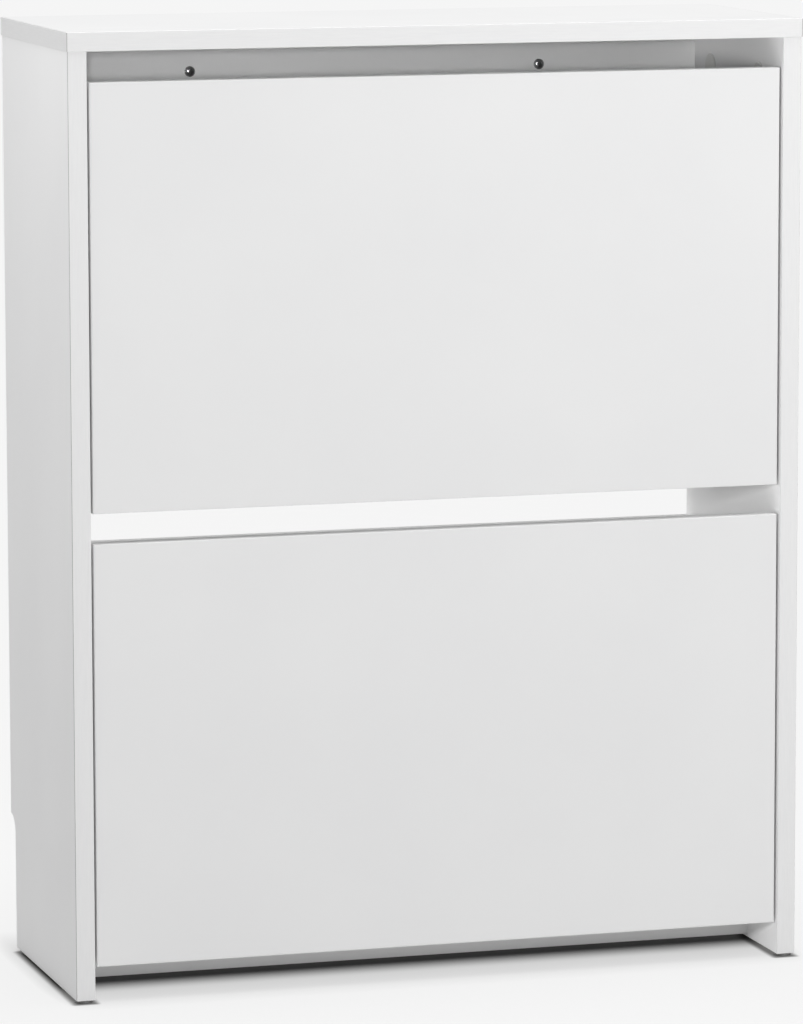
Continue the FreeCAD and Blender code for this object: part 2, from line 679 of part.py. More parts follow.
def stop_slot(flap):
    """The room that the sleeve needs in the cheek from the closed to the open position."""
    play = "(Dims.moving_gap / Dims.stop_radius * 180 / pi)"
    span = f"(Dims.opening_angle + 2 * {play})"
    half = "(Dims.stop_sleeve_radius + Dims.moving_gap)"
    start = f"{CHEEK_INNER} - Dims.into"
    length = "Dims.cheek_wall + 2 * Dims.into"
    sector = rod(f"{flap}_slot_sector", f"Dims.stop_radius + {half}", length, (start, "0", "0"), "+x")
    sector.setExpression("Angle", span)
    core = rod(f"{flap}_slot_core", f"Dims.stop_radius - {half}", length, (start, "0", "0"), "+x")
    ends = [
        rod(f"{flap}_slot_open_end", half, length, (start, "Dims.stop_radius", "0"), "+x"),
        rod(f"{flap}_slot_closed_end", half, length,
            (start, f"Dims.stop_radius * cos({span} * 1 deg)",
             f"Dims.stop_radius * sin({span} * 1 deg)"), "+x"),
    ]
    slot = fuse(f"{flap}_slot", [cut(f"{flap}_slot_ring", sector, [core])] + ends)
    place(slot, ("0", PIVOT_Y, PIVOT_Z[flap]), FreeCAD.Rotation(FreeCAD.Vector(1, 0, 0), 1))
    slot.setExpression("Placement.Rotation.Angle",
                       f"(Dims.stop_angle - Dims.opening_angle - {play}) * 1 deg")
    return slot


def tray_block(flap, name, size, corner):
    """A box in the leaning frame of the tray, from its front lower corner."""
    across, along, up = corner
    lean = "Dims.tray_lean * 1 deg"
    back = f"({along}) * cos({lean}) + ({up}) * sin({lean}) - {FRONT_BEHIND} + Dims.cheek_wall"
    rise = f"({up}) * cos({lean}) - ({along}) * sin({lean}) + Dims.tray_rise"
    spot = from_pivot(flap, across, f"{back} + Dims.moving_gap", rise)
    item = block(name, size, spot)
    item.Placement = FreeCAD.Placement(FreeCAD.Vector(), FreeCAD.Rotation(FreeCAD.Vector(1, 0, 0), -1))
    item.setExpression("Placement.Rotation.Angle", f"-({lean})")
    place(item, spot)
    return item


def tray_boards(flap):
    """The floor, the divider and the back board, which reach from cheek to cheek."""
    half = f"({CHEEK_INNER} - Dims.tray_end_gap)"
    wide = f"2 * {half}"
    thin = "Dims.tray_board"
    boards = {
        "tray_floor": ((wide, "Dims.floor_depth", thin), "0", "0"),
        "tray_divider": ((wide, thin, "Dims.divider_height"), "Dims.divider_place", thin),
        "tray_back": ((wide, thin, "Dims.back_height"), "Dims.floor_depth", "0"),
    }
    for kind, (size, along, up) in boards.items():
        label = f"{flap}_{kind}"
        node(tray_block(flap, label, size, (f"-{half}", along, up)), label)


def tray_ribs(flap):
    """Pairs of ribs on the cheek, one pair on each side of every tray board's end."""
    thin = "Dims.rib_width"
    tall = "Dims.rib_height"
    start = f"{CHEEK_INNER} - {tall}"
    before = f"-{thin} - Dims.rib_play"
    after = "Dims.tray_board + Dims.rib_play"
    rise = "Dims.tray_board + Dims.rib_end_gap"
    divider_rib = (thin, "Dims.divider_height - Dims.rib_end_gap")
    specs = {
        "floor_under": (("Dims.floor_depth", thin), "0", before),
        "floor_over_front": ((f"Dims.divider_place {before}", thin), "0", after),
        "floor_over_back": (
            (f"Dims.floor_depth - Dims.divider_place - Dims.tray_board {before} - Dims.rib_play", thin),
            "Dims.divider_place + Dims.tray_board + Dims.rib_play", after),
        "divider_front": (divider_rib, f"Dims.divider_place {before}", rise),
        "divider_back": (divider_rib, f"Dims.divider_place + {after}", rise),
        "back_front": ((thin, f"Dims.back_height - {rise}"), f"Dims.floor_depth {before}", rise),
        "back_back": ((thin, "Dims.back_height"), f"Dims.floor_depth + {after}", "0"),
    }
    ribs = []
    for kind, ((deep, high), along, up) in specs.items():
        size = (f"{tall} + Dims.into", deep, high)
        ribs.append(tray_block(flap, f"{flap}_rib_{kind}", size, (start, along, up)))
    return ribs


def cheek_shell(flap):
    """The right-hand cheek as an open tray of even wall, its open side towards the middle."""
    corners = {
        "foot": (f"-{FRONT_BEHIND}", "-Dims.cheek_low"),
        "top_front": (f"-{FRONT_BEHIND}", "Dims.cheek_top"),
        "top_bend": ("Dims.cheek_top_flat", "Dims.cheek_top"),
        "top_back": ("Dims.cheek_top_back", "Dims.cheek_top_drop"),
        "back": ("Dims.cheek_back", "Dims.cheek_back_rise"),
        "heel": ("Dims.cheek_heel", "Dims.cheek_heel_rise"),
        "toe": ("Dims.cheek_toe", "-Dims.cheek_low"),
    }
    body = start_body(f"{flap}_cheek_shell", ("0", PIVOT_Y, PIVOT_Z[flap]))
    profile = side_sketch(body, f"{flap}_cheek_profile", f"{CHEEK_OUTER} - Dims.cheek_depth")
    outline(profile, list(corners.values()))
    slab = pad(body, f"{flap}_cheek_slab", profile, "Dims.cheek_depth")
    round_names = ("top_bend", "top_back", "back", "heel", "toe")
    rounded = round_corners(body, f"{flap}_cheek_round", slab, "Dims.cheek_round",
                            [corners[name] for name in round_names])
    faces = rounded.Shape.Faces
    open_side = min(range(len(faces)), key=lambda index: faces[index].CenterOfMass.x)
    shell = body.newObject("PartDesign::Thickness", f"{flap}_cheek_hollow")
    shell.Base = (rounded, [f"Face{open_side + 1}"])
    shell.Reversed = True
    shell.setExpression("Value", "Dims.cheek_wall")
    doc.recompute()
    return body


def cheek(flap):
    """A cheek with its screw flange, its bush boss, its ribs and its holes, and its screws."""
    shell = cheek_shell(flap)
    flange_start = f"({CHEEK_OUTER} - Dims.flange_width)"
    flange = block(f"{flap}_flange",
                   ("Dims.flange_width - Dims.cheek_wall / 2", "Dims.cheek_wall",
                    "Dims.cheek_top + Dims.cheek_low"),
                   from_pivot(flap, flange_start, f"-{FRONT_BEHIND}", "-Dims.cheek_low"))
    boss_start = f"({CHEEK_INNER} - Dims.bush_boss_height)"
    boss = rod(f"{flap}_bush_boss", "Dims.bush_boss_radius", "Dims.bush_boss_height + Dims.into",
               from_pivot(flap, boss_start, "0", "0"), "+x")
    beside_front = block(f"{flap}_boss_trim", ("Dims.board", "Dims.board", "4 * Dims.board"),
                         from_pivot(flap, boss_start, f"-{FRONT_BEHIND} - Dims.board",
                                    "-2 * Dims.board"))
    blank = fuse(f"{flap}_cheek_blank",
                 [shell, flange, cut(f"{flap}_boss_trimmed", boss, [beside_front])] + tray_ribs(flap))
    holes = [
        stop_slot(flap),
        rod(f"{flap}_bush_eye", "Dims.bush_radius + Dims.bore_clearance", "Dims.board",
            from_pivot(flap, f"{boss_start} - Dims.into", "0", "0"), "+x"),
        rod(f"{flap}_bush_room", "Dims.bush_flange_radius + Dims.moving_gap",
            f"{boss_start} - {flange_start}", from_pivot(flap, flange_start, "0", "0"), "+x"),
    ]
    screws = []
    for number in range(FLANGE_SCREWS):
        spot = from_pivot(flap, f"{flange_start} + Dims.flange_screw_inset / 2",
                          f"Dims.cheek_wall - {FRONT_BEHIND}",
                          f"Dims.flange_screw_low + {number} * Dims.flange_screw_pitch")
        screws.append(copy_at(pan_shape, f"{flap}_cheek_screw_{number + 1}", spot, "-y"))
        holes.append(rod(f"{flap}_flange_eye_{number + 1}", "Dims.screw_radius + Dims.bore_clearance",
                         "Dims.cheek_wall", spot, "-y"))
        bore(f"{flap}_front", "Dims.screw_radius", "Dims.screw_length", spot, "-y")
    right = cut(f"{flap}_cheek", blank, holes)
    node(right, f"{flap}_right_cheek")
    node(mirror(f"{flap}_cheek_left", right), f"{flap}_left_cheek")
    node(group(f"{flap}_cheek_screws_all", both_sides(screws)), f"{flap}_cheek_screws")


def bushes(flap):
    """Flanged plastic bushes in the cheeks, which run on the pivot pins."""
    boss_start = f"({CHEEK_INNER} - Dims.bush_boss_height)"
    flange_start = f"({boss_start} - Dims.bush_flange_height)"
    flange = rod(f"{flap}_bush_flange", "Dims.bush_flange_radius", "Dims.bush_flange_height",
                 from_pivot(flap, flange_start, "0", "0"), "+x")
    tube = rod(f"{flap}_bush_tube", "Dims.bush_radius", "Dims.bush_boss_height + Dims.cheek_wall",
               from_pivot(flap, boss_start, "0", "0"), "+x")
    eye = rod(f"{flap}_bush_bore", "Dims.pin_radius + Dims.running_clearance", "Dims.board",
              from_pivot(flap, flange_start, "0", "0"), "+x")
    right = cut(f"{flap}_bush", fuse(f"{flap}_bush_blank", [flange, tube]), [eye])
    node(group(f"{flap}_bush_pair", both_sides([right])), f"{flap}_pivot_bushes")


def front(flap):
    """The front board with edging on all four sides."""
    bottom = FRONT_BOTTOM[flap]
    face = f"({FRONT_EDGE} + Dims.front_setback)"
    blank = block(f"{flap}_front_blank",
                  (f"2 * ({FRONT_HALF} - Dims.edging)", "Dims.board",
                   "Dims.front_height - 2 * Dims.edging"),
                  (f"Dims.edging - {FRONT_HALF}", face, f"{bottom} + Dims.edging"))
    node(bored(f"{flap}_front", blank, True), f"{flap}_front")
    upright = strip(f"{flap}_front_side_band", ("Dims.edging", "Dims.board", "Dims.front_height"),
                    (f"{FRONT_HALF} - Dims.edging", face, bottom), FreeCAD.Vector(1, 0, 0))
    level = (f"2 * ({FRONT_HALF} - Dims.edging)", "Dims.board", "Dims.edging")
    low = strip(f"{flap}_front_low_band", level, (f"Dims.edging - {FRONT_HALF}", face, bottom),
                FreeCAD.Vector(0, 0, -1))
    high = strip(f"{flap}_front_high_band", level,
                 (f"Dims.edging - {FRONT_HALF}", face, f"{bottom} + Dims.front_height - Dims.edging"),
                 FreeCAD.Vector(0, 0, 1))
    node(group(f"{flap}_front_bands", both_sides([upright]) + [low, high]), f"{flap}_front_edging")


def flaps():
    """Both flaps, and the pins and screws that the side panels hold for them."""
    held = {"screws": [], "pins": [], "stops": [], "sleeves": []}
    for flap in ("upper", "lower"):
        for kind, pieces in pivot_hardware(flap).items():
            held[kind] += pieces
        cheek(flap)
        bushes(flap)
        tray_boards(flap)
        front(flap)
    node(group("bracket_screws_all", both_sides(held["screws"])), "bracket_screws")
    node(group("pivot_pins_all", both_sides(held["pins"])), "pivot_pins")
    node(group("stop_pins_all", both_sides(held["stops"])), "stop_pins")
    node(group("stop_sleeves_all", both_sides(held["sleeves"])), "stop_sleeves")


# ---------------------------------------------------------------- checks and output

def check_document():
    """Stop on a failed object, or on a sub-part with no valid shape."""
    for item in doc.Objects:
        if "Invalid" in item.State or "Error" in item.State:
            raise RuntimeError(f"{item.Name} failed: {item.State}")
    for item in nodes:
        if item.Shape.isNull() or not item.Shape.isValid() or not item.Shape.Solids:
            raise RuntimeError(f"{item.Label} has no valid solid")


def write_steps():
    """One STEP file for each sub-part."""
    os.makedirs("parts", exist_ok=True)
    for item in nodes:
        item.Shape.exportStep(f"parts/{item.Label}.step")


sheet = make_sheet()
cam_shape = cam_prototype()
bolt_shape = bolt_prototype()
pan_shape = pan_screw("pan_screw_prototype", "Dims.screw_head_radius", "Dims.screw_head_height",
                      "Dims.screw_radius", "Dims.screw_length")
sunk_shape = sunk_screw("sunk_screw_prototype")
top_fixings()
rail_fixings()
wall_fixings()
feet()
flaps()
side_panels()
top_board()
rails()
doc.recompute()
check_document()
write_steps()
print(f"{len(nodes)} sub-parts written")
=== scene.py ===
import json
import math

import bmesh
import bpy
from mathutils import Matrix, Vector


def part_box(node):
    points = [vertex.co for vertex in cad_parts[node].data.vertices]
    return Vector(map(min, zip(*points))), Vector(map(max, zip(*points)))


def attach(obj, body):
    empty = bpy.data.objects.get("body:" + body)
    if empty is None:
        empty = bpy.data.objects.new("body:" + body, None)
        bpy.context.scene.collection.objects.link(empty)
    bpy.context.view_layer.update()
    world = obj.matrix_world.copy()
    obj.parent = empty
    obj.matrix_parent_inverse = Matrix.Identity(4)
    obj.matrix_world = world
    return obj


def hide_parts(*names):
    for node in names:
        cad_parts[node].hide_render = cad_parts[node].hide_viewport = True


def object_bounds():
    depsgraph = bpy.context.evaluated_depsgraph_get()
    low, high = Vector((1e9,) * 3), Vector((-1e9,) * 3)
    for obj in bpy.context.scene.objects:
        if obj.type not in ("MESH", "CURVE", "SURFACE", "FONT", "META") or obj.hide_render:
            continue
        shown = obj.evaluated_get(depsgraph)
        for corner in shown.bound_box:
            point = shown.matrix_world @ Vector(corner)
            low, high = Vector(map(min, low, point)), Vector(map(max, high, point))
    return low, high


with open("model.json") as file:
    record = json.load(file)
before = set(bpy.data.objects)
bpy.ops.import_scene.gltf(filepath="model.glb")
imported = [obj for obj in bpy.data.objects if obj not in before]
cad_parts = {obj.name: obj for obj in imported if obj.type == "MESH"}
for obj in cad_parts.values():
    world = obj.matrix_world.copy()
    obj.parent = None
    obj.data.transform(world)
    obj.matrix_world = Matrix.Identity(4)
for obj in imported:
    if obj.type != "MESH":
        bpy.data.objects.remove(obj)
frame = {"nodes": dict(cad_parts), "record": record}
cad_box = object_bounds()

# The looks of a white two-flap shoe cabinet. Metres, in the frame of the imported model:
# +Z up, the flaps face -Y, the origin on the floor under the middle of the top board.

MM = 0.001

SIDE_PANELS = ("left_side_panel", "right_side_panel")
SIDE_EDGINGS = ("left_side_edging", "right_side_edging")
RAILS = ("upper_back_rail", "middle_back_rail", "plinth_rail")
FLAPS = ("upper", "lower")

# Fasteners: what is only part of a head is given as a share of the head's radius or height
HEAD_POINTS = 64
HEAD_RINGS = 24
DOME_RIM = 0.45
CROSS_HALF_LENGTH = 0.56
CROSS_HALF_WIDTH = 0.15
CROSS_SIDE_FLANK = 0.06
CROSS_END_FLANK = 0.18
CROSS_DEPTH = 0.36
SHARP_ANGLE = math.radians(40)
DRIVEN_ANGLE = math.radians(33)
FACING_FRONT = Matrix.Rotation(math.pi / 2, 4, "X")
FACING_BACK = Matrix.Rotation(-math.pi / 2, 4, "X")
WALL_SCREW_SHANK = 2.4 * MM
CHEEK_SCREWS = 4
CHEEK_SCREW_RADIUS = 3.6 * MM
CHEEK_SCREW_HEIGHT = 2.2 * MM
CHEEK_SCREW_SHANK = 1.75 * MM
CAM_RADIUS = 7.5 * MM
CAM_LENGTH = 12.3 * MM
CAM_DROP = 16.0 * MM
CAM_GROOVE_DEPTH = 0.25 * MM
CAM_GROOVE_START = 0.74
CAM_GROOVE_END = 0.86
CAM_WAIST_RADIUS = 0.86 * CAM_RADIUS
CAM_WAIST_HALF_LENGTH = 2.5 * MM

# Camera
CAMERA_PLACE = Vector((-1.3391, -4.4592, 1.0226))
CAMERA_YAW = math.radians(16.720)
CAMERA_PITCH = math.radians(8.076)
CAMERA_ROLL = math.radians(0.121)
CAMERA_LENS_MM = 205.0
CAMERA_SENSOR_MM = 36.0

# The floor glows, except in two shadows: one under and behind the plinth, with a dark core
# and a faint halo, and a narrow one along the feet of the side panels
FLOOR_HALF_SIZE = 60.0
FLOOR_TONE = (0.16, 0.16, 0.16)
FLOOR_TONE_CLOUD = tuple(0.995 * part for part in FLOOR_TONE)
FLOOR_ROUGHNESS = 0.95
FLOOR_GLOW = 0.753
SHADOW_CORE = 0.042
SHADOW_HALO = 0.10
SHADOW_LEAST = 0.02
SHADOW_HALO_SHARE = 0.35
SHADOW_INSET = 0.005
SHADOW_SQUEEZE = (5.0, 1.0, 1.0)
CONTACT_REACH = 0.006
CONTACT_LEAST = 0.22
CONTACT_SQUEEZE = (1.0, 1.0, 0.0)

# Lights. A softbox has a power in watts, a width, a place, the point that it looks at and,
# where its beam is narrow, the beam's spread in degrees
DOME_STRENGTH = 0.04
SUN_STRENGTH = 3.1
SUN_WIDTH = math.radians(50)
FRONT_RIGHT = {"power": 25.2, "width": 1.2, "place": (0.9, -1.9, 1.7), "target": (0.0, -0.1, 0.5)}
HIGH_LEFT = {"power": 1.8, "width": 0.4, "place": (-0.75, -0.1, 1.1), "target": (-0.3, 0.0, 0.6)}
END_FILL = {**HIGH_LEFT, "power": 1.0}
UPPER_RAIL_FILL = {"power": 2.75, "width": 0.15, "place": (-0.88, -2.6, 0.899),
                   "target": (-0.08, 0.1, 0.72), "spread": 60}
MIDDLE_RAIL_FILL = {"power": 75.0, "width": 0.15, "place": (-0.9, -3.0, 0.806),
                    "target": (0.0, 0.1, 0.335)}
WALL_FILL = {"power": 33.0, "width": 0.25, "place": (-2.4, -2.0, 0.76), "target": (0.28, 0.0, 0.55)}
REAR_FILL = {"power": 22.0, "width": 1.2, "place": (-2.2, 1.9, 0.42), "target": (0.28, 0.0, 0.37)}

# Colours of the parts of a material
BOARD_WHITE = (0.88, 0.88, 0.88)
BOARD_SHADE = (0.862, 0.862, 0.864)
EDGING_WHITE = (0.885, 0.885, 0.885)
# The next grey paints thin lines on the strips, and painted shade on the top strip's upward face
EDGING_GREY_AND_SHADE = (0.30, 0.295, 0.285)
CHIP_LIGHT = (0.68, 0.54, 0.36)
CHIP_DARK = (0.43, 0.30, 0.17)
CHIP_GAP = (0.24, 0.16, 0.09)
FIBRE_LIGHT = (0.46, 0.32, 0.19)
FIBRE_DARK = (0.27, 0.17, 0.09)
LACQUER_WHITE = (0.84, 0.84, 0.83)
LACQUER_SHADE = (0.80, 0.80, 0.79)
RUBBER_BLACK = (0.012, 0.012, 0.013)
RUBBER_BLOOM = (0.05, 0.05, 0.05)
BEECH_LIGHT = (0.74, 0.55, 0.36)
BEECH_DARK = (0.48, 0.31, 0.17)

# Nearly all of a noise's values lie between these
NOISE_LOW = 0.3
NOISE_HIGH = 0.7

# The cosine from which a face starts to count as facing an axis, and from which it fully does
FACING_START = 0.85
FACING_FULL = 0.95

# Where the strips are greyed: the cosines of a thin grey line on the outer side of a side panel's strip,
# and on the top board's strip where the grey at its front corners begins, how grey it is there, and how
# strongly painted shade darkens its upward face
SIDE_LINE_START = 0.55
SIDE_LINE_FULL = 0.75
END_STRIP_START = 299.2 * MM
END_STRIP_FULL = END_STRIP_START + 0.1 * MM
GREY_AT_CORNER = 0.6
PAINTED_SHADE_FROM_ABOVE = 0.33


# ---------------------------------------------------------------- shader nodes

class Shader:
    """A material that is made by nodes, with short calls for the nodes that this script uses."""

    def __init__(self, name):
        self.material = bpy.data.materials.new(name)
        self.material.use_nodes = True
        self.tree = self.material.node_tree
        self.surface = self.tree.nodes["Principled BSDF"]

    def add(self, kind, **settings):
        """A new node with some of its settings."""
        node = self.tree.nodes.new(kind)
        for key, value in settings.items():
            setattr(node, key, value)
        return node

    def link(self, source, target):
        """Feed one socket from another."""
        self.tree.links.new(source, target)

    def put(self, socket, value):
        """Set a socket to a number or a colour, or link another socket to it."""
        if isinstance(value, bpy.types.NodeSocket):
            self.link(value, socket)
        elif isinstance(value, tuple) and len(value) == 3:
            socket.default_value = (*value, 1.0)
        else:
            socket.default_value = value

    def place(self):
        """Where a point is on the piece, in metres, whatever the pose."""
        return self.add("ShaderNodeTexCoord").outputs["Object"]

    def facing(self):
        """The direction that the piece's surface faces, in its own frame."""
        return self.add("ShaderNodeTexCoord").outputs["Normal"]

    def stretched(self, scale):
        """The place on the piece, stretched by a scale along each axis."""
        mapping = self.add("ShaderNodeMapping")
        mapping.inputs["Scale"].default_value = scale
        self.link(self.place(), mapping.inputs["Vector"])
        return mapping.outputs["Vector"]

    def noise(self, scale=1.0, detail=2.0, roughness=0.5, vector=None):
        """A soft noise over the piece or over another vector."""
        node = self.add("ShaderNodeTexNoise")
        self.link(vector or self.place(), node.inputs["Vector"])
        node.inputs["Scale"].default_value = scale
        node.inputs["Detail"].default_value = detail
        node.inputs["Roughness"].default_value = roughness
        return node.outputs["Fac"]

    def cells(self, vector):
        """The distance to the nearest point of a scatter, and that point's random colour."""
        node = self.add("ShaderNodeTexVoronoi")
        self.link(vector, node.inputs["Vector"])
        node.inputs["Scale"].default_value = 1.0
        return node.outputs["Distance"], node.outputs["Color"]

    def math(self, operation, first, second=0.0):
        """One step of arithmetic on sockets or numbers."""
        node = self.add("ShaderNodeMath", operation=operation)
        self.put(node.inputs[0], first)
        self.put(node.inputs[1], second)
        return node.outputs[0]

    def between(self, value, low, high, low_out=0.0, high_out=1.0, curve="LINEAR"):
        """Map a value from one range to another, held at both ends."""
        node = self.add("ShaderNodeMapRange", interpolation_type=curve)
        self.put(node.inputs["Value"], value)
        node.inputs["From Min"].default_value = low
        node.inputs["From Max"].default_value = high
        node.inputs["To Min"].default_value = low_out
        node.inputs["To Max"].default_value = high_out
        return node.outputs["Result"]

    def vary(self, noise, low_out=0.0, high_out=1.0):
        """Spread a noise over a range."""
        return self.between(noise, NOISE_LOW, NOISE_HIGH, low_out, high_out)

    def mix(self, share, first, second):
        """Blend two colours by a share."""
        node = self.add("ShaderNodeMix", data_type="RGBA")
        self.put(node.inputs["Factor"], share)
        self.put(node.inputs["A"], first)
        self.put(node.inputs["B"], second)
        return node.outputs["Result"]

    def vector(self, operation, first, second=None):
        """A vector operation, whose second side is a vector of numbers."""
        node = self.add("ShaderNodeVectorMath", operation=operation)
        self.link(first, node.inputs[0])
        if second:
            node.inputs[1].default_value = second
        return node.outputs["Value" if operation == "LENGTH" else "Vector"]

    def outside(self, low, high, squeeze):
        """How far a point lies outside a box, with each axis' share of it multiplied."""
        middle = (Vector(low) + Vector(high)) / 2
        half = (Vector(high) - Vector(low)) / 2
        offset = self.vector("ABSOLUTE", self.vector("SUBTRACT", self.place(), middle))
        beyond = self.vector("MAXIMUM", self.vector("SUBTRACT", offset, half), (0, 0, 0))
        return self.vector("LENGTH", self.vector("MULTIPLY", beyond, squeeze))

    def axis(self, vector, letter):
        """One coordinate of a vector."""
        node = self.add("ShaderNodeSeparateXYZ")
        self.link(vector, node.inputs[0])
        return node.outputs[letter]

    def soft_edges(self, radius):
        """A normal that rounds sharp edges, to feed a bump."""
        node = self.add("ShaderNodeBevel", samples=4)
        node.inputs["Radius"].default_value = radius
        return node.outputs["Normal"]

    def bump(self, height, strength, depth, normal=None):
        """A normal that follows a height, on top of another normal."""
        node = self.add("ShaderNodeBump")
        node.inputs["Strength"].default_value = strength
        node.inputs["Distance"].default_value = depth
        self.link(height, node.inputs["Height"])
        if normal:
            self.link(normal, node.inputs["Normal"])
        return node.outputs["Normal"]

    def finish(self, colour, roughness, normal=None, **plain):
        """Feed the surface's colour, roughness and normal, and set its plain values."""
        self.put(self.surface.inputs["Base Color"], colour)
        self.put(self.surface.inputs["Roughness"], roughness)
        if normal:
            self.link(normal, self.surface.inputs["Normal"])
        for key, value in plain.items():
            self.surface.inputs[key.replace("_", " ")].default_value = value
        return self.material


# ---------------------------------------------------------------- materials

def facing_mask(shader, letter, sign):
    """One where a surface faces along an axis, and zero elsewhere."""
    turned = shader.math("MULTIPLY", shader.axis(shader.facing(), letter), sign)
    return shader.between(turned, FACING_START, FACING_FULL)


def chipboard_colour(shader):
    """Pressed wood chips: flat flakes of several browns with dark gaps."""
    distance, random_colour = shader.cells(shader.stretched((260.0, 700.0, 420.0)))
    wood = shader.mix(shader.axis(random_colour, "X"), CHIP_DARK, CHIP_LIGHT)
    gap = shader.between(distance, 0.45, 0.75)
    return shader.mix(gap, wood, CHIP_GAP)


def melamine(name, raw_faces=(), gloss=0.42):
    """White melamine facing: satin, with a fine pearl texture and raw chipboard on cut faces."""
    shader = Shader(name)
    cloud = shader.between(shader.noise(scale=7.0, detail=3.0), 0.35, 0.65)
    colour = shader.mix(cloud, BOARD_SHADE, BOARD_WHITE)
    smear = shader.noise(scale=14.0, detail=4.0, roughness=0.6, vector=shader.stretched((1.0, 1.0, 0.25)))
    roughness = shader.vary(smear, 0.40, 0.52)
    if raw_faces:
        raw = facing_mask(shader, *raw_faces[0])
        for letter, sign in raw_faces[1:]:
            raw = shader.math("MAXIMUM", raw, facing_mask(shader, letter, sign))
        colour = shader.mix(raw, colour, chipboard_colour(shader))
        roughness = shader.math("MAXIMUM", roughness, shader.math("MULTIPLY", raw, 0.9))
    pearl = shader.noise(scale=950.0)
    normal = shader.bump(pearl, strength=0.10, depth=0.04 * MM, normal=shader.soft_edges(0.35 * MM))
    return shader.finish(colour, roughness, normal, Specular_IOR_Level=gloss)


def side_grey_line(shader):
    """One on a thin grey line along the outward side of a side panel's front strip."""
    side = shader.math("SIGN", shader.axis(shader.place(), "X"))
    outwards = shader.math("MULTIPLY", side, shader.axis(shader.facing(), "X"))
    return shader.between(outwards, SIDE_LINE_START, SIDE_LINE_FULL)


def corner_grey_and_top_shade(shader):
    """Some on the top board's strip: grey at its front corners, and painted shade on its upward face."""
    across = shader.math("ABSOLUTE", shader.axis(shader.place(), "X"))
    at_end = shader.between(across, END_STRIP_START, END_STRIP_FULL, 0.0, GREY_AT_CORNER)
    at_corner = shader.math("MULTIPLY", at_end, facing_mask(shader, "Y", -1.0))
    # Painted shade: the top strip's upward face is darkened against the bright line that the lights would
    # give it
    painted_shade = shader.math("MULTIPLY", facing_mask(shader, "Z", 1.0), PAINTED_SHADE_FROM_ABOVE)
    return shader.math("MAXIMUM", at_corner, painted_shade)


def edging(name, line_scale=(60.0, 900.0, 60.0), grey_mask=None):
    """Plastic edging band: fine lines along it and, where a grey mask says, grey lines and painted shade.
    """
    shader = Shader(name)
    lines = shader.noise(vector=shader.stretched(line_scale))
    colour = shader.mix(shader.vary(lines), BOARD_SHADE, EDGING_WHITE)
    if grey_mask:
        # Grey lines, and on the top strip painted shade on its upward face, where the mask says
        colour = shader.mix(grey_mask(shader), colour, EDGING_GREY_AND_SHADE)
    grain = shader.noise(scale=1200.0)
    normal = shader.bump(grain, strength=0.08, depth=0.03 * MM)
    return shader.finish(colour, shader.vary(grain, 0.42, 0.52), normal, Specular_IOR_Level=0.3)


def hardboard(name):
    """Thin board with white lacquered faces and bare brown fibre on its ends."""
    shader = Shader(name)
    fibres = shader.noise(detail=5.0, roughness=0.65, vector=shader.stretched((900.0, 900.0, 2600.0)))
    bare = shader.mix(fibres, FIBRE_DARK, FIBRE_LIGHT)
    white = shader.mix(shader.noise(scale=9.0, detail=3.0), LACQUER_SHADE, LACQUER_WHITE)
    sideways = shader.math("ABSOLUTE", shader.axis(shader.facing(), "X"))
    ends = shader.between(sideways, FACING_START, FACING_FULL)
    weave = shader.noise(scale=520.0, detail=3.0)
    normal = shader.bump(weave, strength=0.18, depth=0.06 * MM)
    return shader.finish(shader.mix(ends, white, bare), shader.vary(weave, 0.42, 0.55), normal)


def moulded_plastic(name, dark, light, roughness):
    """Moulded plastic with the fine sparked texture of its tool."""
    shader = Shader(name)
    flow = shader.noise(scale=26.0, detail=4.0, roughness=0.55)
    colour = shader.mix(shader.vary(flow), dark, light)
    spark = shader.noise(scale=2200.0)
    normal = shader.bump(spark, strength=0.22, depth=0.05 * MM, normal=shader.soft_edges(0.3 * MM))
    return shader.finish(colour, shader.vary(spark, roughness - 0.06, roughness + 0.06), normal)


def metal(name, dark, light, roughness, speckle, pitting):
    """Bare or plated metal with patchy plating, fine scratches and pits."""
    shader = Shader(name)
    patches = shader.noise(scale=320.0, detail=4.0, roughness=0.6)
    colour = shader.mix(shader.vary(patches), dark, light)
    scratches = shader.noise(detail=3.0, roughness=0.6, vector=shader.stretched((3000.0, 3000.0, 500.0)))
    rough = shader.vary(scratches, roughness - speckle, roughness + speckle)
    pits = shader.noise(scale=1900.0, detail=3.0)
    normal = shader.bump(pits, strength=pitting, depth=0.04 * MM, normal=shader.soft_edges(0.15 * MM))
    return shader.finish(colour, rough, normal, Metallic=1.0)


def rubber(name):
    """Soft black rubber with a dusty bloom."""
    shader = Shader(name)
    bloom = shader.noise(scale=420.0, detail=4.0, roughness=0.6)
    colour = shader.mix(shader.between(bloom, 0.35, 0.7), RUBBER_BLACK, RUBBER_BLOOM)
    normal = shader.bump(shader.noise(scale=2400.0), strength=0.3, depth=0.05 * MM)
    return shader.finish(colour, shader.vary(bloom, 0.6, 0.8), normal)


def beech(name):
    """Beech with short dark flecks along the grain."""
    shader = Shader(name)
    grain = shader.noise(detail=4.0, roughness=0.6, vector=shader.stretched((260.0, 900.0, 900.0)))
    colour = shader.mix(grain, BEECH_DARK, BEECH_LIGHT)
    normal = shader.bump(grain, strength=0.3, depth=0.08 * MM)
    return shader.finish(colour, shader.vary(grain, 0.55, 0.7), normal)


